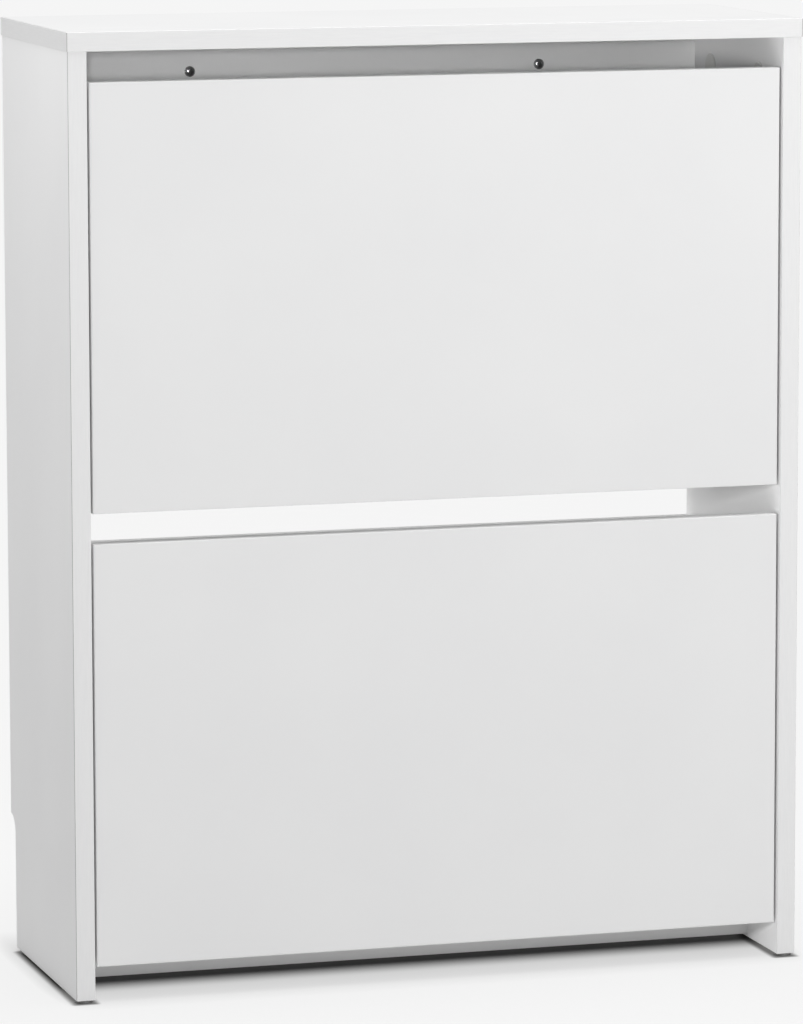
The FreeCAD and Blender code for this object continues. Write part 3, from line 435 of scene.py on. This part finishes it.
def make_materials():
    """The look of every material slot of the record."""
    return {
        "melamine_board": melamine("melamine_board"),
        "edging": edging("edging"),
        "thin_board": hardboard("thin_board"),
        "white_plastic": moulded_plastic(
            "white_plastic", dark=(0.74, 0.74, 0.72), light=(0.80, 0.80, 0.78), roughness=0.42),
        "grey_plastic": moulded_plastic(
            "grey_plastic", dark=(0.24, 0.24, 0.242), light=(0.31, 0.31, 0.312), roughness=0.45),
        "natural_plastic": moulded_plastic(
            "natural_plastic", dark=(0.62, 0.60, 0.53), light=(0.70, 0.68, 0.60), roughness=0.35),
        "plated_steel": metal(
            "plated_steel", dark=(0.52, 0.53, 0.55), light=(0.66, 0.67, 0.69),
            roughness=0.30, speckle=0.08, pitting=0.1),
        "cast_zinc": metal(
            "cast_zinc", dark=(0.34, 0.34, 0.35), light=(0.50, 0.50, 0.51),
            roughness=0.48, speckle=0.10, pitting=0.5),
        "dark_steel": metal(
            "dark_steel", dark=(0.22, 0.22, 0.225), light=(0.36, 0.36, 0.365),
            roughness=0.30, speckle=0.06, pitting=0.15),
        "rubber": rubber("rubber"),
        "beech": beech("beech"),
    }


def paint(nodes, material):
    """Give CAD nodes a material in every slot of their meshes."""
    for node in nodes:
        mesh = frame["nodes"][node].data
        mesh.materials.clear()
        mesh.materials.append(material)


def dress_nodes():
    """Give every CAD node the material of its slot, and cut boards and strips their own."""
    for part in frame["record"]["subparts"]:
        paint([part["node"]], materials[part["material_slot"]])
    paint(SIDE_PANELS, melamine("melamine_side", raw_faces=(("Y", 1.0), ("Z", -1.0))))
    paint(["top_board"], melamine("melamine_top", raw_faces=(("Y", 1.0),), gloss=0.0))
    paint(SIDE_EDGINGS, edging("edging_side", (900.0, 60.0, 60.0), side_grey_line))
    # The top strip gets grey at its front corners and painted shade on its upward face
    paint(["top_board_edging"], edging("edging_top", (60.0, 60.0, 900.0), corner_grey_and_top_shade))


# ---------------------------------------------------------------- fasteners

def ring(radius, height):
    """The points of a level circle."""
    turns = [2 * math.pi * number / HEAD_POINTS for number in range(HEAD_POINTS)]
    return [Vector((radius * math.cos(turn), radius * math.sin(turn), height)) for turn in turns]


def cross_depth(point, radius):
    """How deep the tapered cross recess of a head is at a point."""
    across, along = sorted((abs(point.x) / radius, abs(point.y) / radius))
    in_width = (CROSS_HALF_WIDTH - across) / CROSS_SIDE_FLANK
    in_length = (CROSS_HALF_LENGTH - along) / CROSS_END_FLANK
    return CROSS_DEPTH * radius * max(0.0, min(1.0, in_width, in_length))


def top_of_head(radius, height_at):
    """Circles from the middle of a head to its rim, with a cross recess in the middle."""
    circles = []
    for step in range(1, HEAD_RINGS + 1):
        share = step / HEAD_RINGS
        circle = ring(radius * share, height_at(share))
        for point in circle:
            point.z -= cross_depth(point, radius)
        circles.append(circle)
    return circles


def pan_screw(radius, height, shank, length):
    """A screw with a domed head above z = 0 and its shank below."""
    def dome(share):
        return height * (DOME_RIM + (1 - DOME_RIM) * math.sqrt(1 - share ** 2))
    return top_of_head(radius, dome) + [ring(radius, 0.0), ring(shank, 0.0), ring(shank, -length)]


def cam_lock():
    """A cam with its face at z = 0, a turned groove round the face and a waist for the bolt."""
    def grooved(share):
        return -CAM_GROOVE_DEPTH if CAM_GROOVE_START < share < CAM_GROOVE_END else 0.0
    waist_top = CAM_WAIST_HALF_LENGTH - CAM_LENGTH / 2
    waist_foot = -CAM_WAIST_HALF_LENGTH - CAM_LENGTH / 2
    return top_of_head(CAM_RADIUS, grooved) + [
        ring(CAM_RADIUS, waist_top),
        ring(CAM_WAIST_RADIUS, waist_top),
        ring(CAM_WAIST_RADIUS, waist_foot),
        ring(CAM_RADIUS, waist_foot),
        ring(CAM_RADIUS, -CAM_LENGTH),
    ]


def add_skin(mesh, circles):
    """Join circles of points into a closed skin, from the first circle to the last."""
    rows = [[mesh.verts.new(point) for point in circle] for circle in circles]
    for upper, lower in zip(rows, rows[1:]):
        for number in range(HEAD_POINTS):
            after = (number + 1) % HEAD_POINTS
            mesh.faces.new((upper[number], lower[number], lower[after], upper[after]))
    mesh.faces.new(rows[0])
    mesh.faces.new(rows[-1])


def put_fasteners(name, circles, spots, turn, body, slot, replaced):
    """Copies of one fastener, each driven to its own angle, that stand for a CAD node."""
    mesh = bmesh.new()
    for number, spot in enumerate(spots):
        driven = Matrix.Rotation((number + 1) * DRIVEN_ANGLE, 4, "Z")
        place = Matrix.Translation(spot) @ turn @ driven
        add_skin(mesh, [[place @ point for point in circle] for circle in circles])
    bmesh.ops.recalc_face_normals(mesh, faces=mesh.faces)
    data = bpy.data.meshes.new(name)
    mesh.to_mesh(data)
    mesh.free()
    data.shade_smooth()
    data.set_sharp_from_angle(angle=SHARP_ANGLE)
    data.materials.append(materials[slot])
    piece = bpy.data.objects.new(name, data)
    bpy.context.scene.collection.objects.link(piece)
    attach(piece, body)
    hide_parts(replaced)
    return piece


def wall_screws():
    """The two dark screws that hold the cabinet to the wall."""
    low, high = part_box("wall_screws")
    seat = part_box("wall_screw_washers")[0].y
    radius = (high.z - low.z) / 2
    spots = [Vector((side * (high.x - radius), seat, low.z + radius)) for side in (-1, 1)]
    circles = pan_screw(radius, seat - low.y, WALL_SCREW_SHANK, high.y - seat)
    return put_fasteners("wall_screw_heads", circles, spots, FACING_FRONT,
                         body="cabinet", slot="dark_steel", replaced="wall_screws")


def cheek_screws(flap):
    """The screws that hold a flap's front board to its two cheeks."""
    low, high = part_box(f"{flap}_cheek_screws")
    radius = CHEEK_SCREW_RADIUS
    seat = high.y - CHEEK_SCREW_HEIGHT
    pitch = (high.z - low.z - 2 * radius) / (CHEEK_SCREWS - 1)
    spots = [Vector((side * (high.x - radius), seat, low.z + radius + number * pitch))
             for side in (-1, 1) for number in range(CHEEK_SCREWS)]
    circles = pan_screw(radius, CHEEK_SCREW_HEIGHT, CHEEK_SCREW_SHANK, seat - low.y)
    put_fasteners(f"{flap}_cheek_screw_heads", circles, spots, FACING_BACK,
                  body=f"{flap}_flap", slot="plated_steel", replaced=f"{flap}_cheek_screws")


def rail_cams():
    """The cam locks in the rear faces of the three rails, one near each end."""
    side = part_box("rail_cam_locks")[1].x - CAM_RADIUS
    spots = []
    for rail in RAILS:
        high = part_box(rail)[1]
        spots += [Vector((x, high.y, high.z - CAM_DROP)) for x in (-side, side)]
    put_fasteners("rail_cam_faces", cam_lock(), spots, FACING_BACK,
                  body="cabinet", slot="cast_zinc", replaced="rail_cam_locks")


# ---------------------------------------------------------------- studio

def make_camera():
    """The camera at the photograph's place, with no shift."""
    data = bpy.data.cameras.new("camera")
    data.lens = CAMERA_LENS_MM
    data.sensor_width = CAMERA_SENSOR_MM
    camera = bpy.data.objects.new("camera", data)
    bpy.context.scene.collection.objects.link(camera)
    yaw = Matrix.Rotation(-CAMERA_YAW, 4, "Z")
    pitch = Matrix.Rotation(math.pi / 2 - CAMERA_PITCH, 4, "X")
    roll = Matrix.Rotation(-CAMERA_ROLL, 4, "Z")
    camera.matrix_world = Matrix.Translation(CAMERA_PLACE) @ yaw @ pitch @ roll
    bpy.context.scene.camera = camera


def plinth_shadow(shader):
    """One on the floor, and nearly nothing from the plinth to the rear of the cabinet."""
    low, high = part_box("plinth_rail")
    front = (low.y + high.y) / 2
    rear = cad_box[1].y - SHADOW_CORE
    side = cad_box[1].x - SHADOW_INSET
    away = shader.outside((-side, front, 0), (side, rear, 0), SHADOW_SQUEEZE)
    grey_mask = shader.between(away, 0.0, SHADOW_CORE, SHADOW_LEAST, 1.0 - SHADOW_HALO_SHARE, "SMOOTHSTEP")
    halo = shader.between(away, 0.0, SHADOW_HALO, 0.0, SHADOW_HALO_SHARE)
    return shader.math("ADD", grey_mask, halo)


def contact_shadow(shader):
    """One on the floor, and less along the feet of the two side panels."""
    front, rear = (corner.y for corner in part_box("foot_glides"))
    feet = []
    for panel in SIDE_PANELS:
        low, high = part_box(panel)
        feet.append(shader.outside((low.x, front, 0), (high.x, rear, 0), CONTACT_SQUEEZE))
    nearest = shader.math("MINIMUM", *feet)
    return shader.between(nearest, 0.0, CONTACT_REACH, CONTACT_LEAST, 1.0, "SMOOTHSTEP")


def floor_material():
    """A pale floor that glows, except in the two shadows."""
    shader = Shader("studio_floor")
    colour = shader.mix(shader.noise(scale=0.6, detail=3.0), FLOOR_TONE_CLOUD, FLOOR_TONE)
    lit = shader.math("MULTIPLY", plinth_shadow(shader), contact_shadow(shader))
    shader.put(shader.surface.inputs["Emission Color"], (1.0, 1.0, 1.0))
    shader.put(shader.surface.inputs["Emission Strength"], shader.math("MULTIPLY", lit, FLOOR_GLOW))
    return shader.finish(colour, FLOOR_ROUGHNESS, Specular_IOR_Level=0.0)


def make_floor():
    """One large square on the ground."""
    mesh = bpy.data.meshes.new("studio_floor")
    half = FLOOR_HALF_SIZE
    corners = [(-half, -half, 0), (half, -half, 0), (half, half, 0), (-half, half, 0)]
    mesh.from_pydata(corners, [], [(0, 1, 2, 3)])
    mesh.materials.append(floor_material())
    floor = bpy.data.objects.new("studio_floor", mesh)
    bpy.context.scene.collection.objects.link(floor)
    return floor


def make_world():
    """An even, white surrounding."""
    world = bpy.data.worlds.new("studio")
    world.use_nodes = True
    background = world.node_tree.nodes["Background"]
    background.inputs["Color"].default_value = (1, 1, 1, 1)
    background.inputs["Strength"].default_value = DOME_STRENGTH
    bpy.context.scene.world = world


def add_lamp(name, data, place, target):
    """A lamp that stands at a place and points at a target."""
    lamp = bpy.data.objects.new(name, data)
    bpy.context.scene.collection.objects.link(lamp)
    lamp.location = place
    lamp.rotation_mode = "QUATERNION"
    lamp.rotation_quaternion = (Vector(target) - Vector(place)).to_track_quat("-Z", "Y")
    return lamp


def make_sun():
    """A far, soft light from straight above, the same on everything."""
    data = bpy.data.lights.new("overhead", "SUN")
    data.energy = SUN_STRENGTH
    data.angle = SUN_WIDTH
    add_lamp("overhead", data, (0, 0, 1), (0, 0, 0))


def linked(members, state):
    """A collection that tells a light to shine on its members only, or to leave them out."""
    chosen = bpy.data.collections.new("light_link")
    for number, member in enumerate(members):
        chosen.objects.link(member)
        chosen.collection_objects[number].light_linking.link_state = state
    return chosen


def only(*members):
    """What a light shines on when it shines on these objects only."""
    return linked(members, "INCLUDE")


def all_but(*members):
    """What a light shines on when it leaves these objects out."""
    return linked(members, "EXCLUDE")


def softbox(name, lit, power, width, place, target, spread=180):
    """A square light, unseen by the camera, that shines on what its link says."""
    data = bpy.data.lights.new(name, "AREA")
    data.energy = power
    data.size = width
    data.spread = math.radians(spread)
    lamp = add_lamp(name, data, place, target)
    lamp.visible_camera = False
    lamp.light_linking.receiver_collection = lit


def make_lights(floor, screw_heads):
    """The lit surroundings, a soft light from above, two softboxes and the fills for the gaps."""
    make_world()
    make_sun()
    nodes = frame["nodes"]
    top = nodes["top_board"]
    top_edging = nodes["top_board_edging"]
    upper_rail = nodes["upper_back_rail"]
    washers = nodes["wall_screw_washers"]
    right_wall = nodes["right_side_panel"]
    covers = nodes["top_cam_covers"]
    softbox("front_right", all_but(floor, top), **FRONT_RIGHT)
    softbox("high_left", all_but(floor, top, top_edging), **HIGH_LEFT)
    softbox("end_fill", only(top_edging), **END_FILL)
    softbox("upper_rail_fill", only(upper_rail, washers, screw_heads), **UPPER_RAIL_FILL)
    softbox("middle_rail_fill", only(nodes["middle_back_rail"]), **MIDDLE_RAIL_FILL)
    softbox("wall_fill", only(right_wall, covers, screw_heads), **WALL_FILL)
    softbox("rear_fill", only(right_wall), **REAR_FILL)


# ---------------------------------------------------------------- scene

bpy.context.scene.view_settings.view_transform = "Standard"
materials = make_materials()
dress_nodes()
wall_screw_heads = wall_screws()
for flap_name in FLAPS:
    cheek_screws(flap_name)
rail_cams()
make_camera()
make_lights(make_floor(), wall_screw_heads)
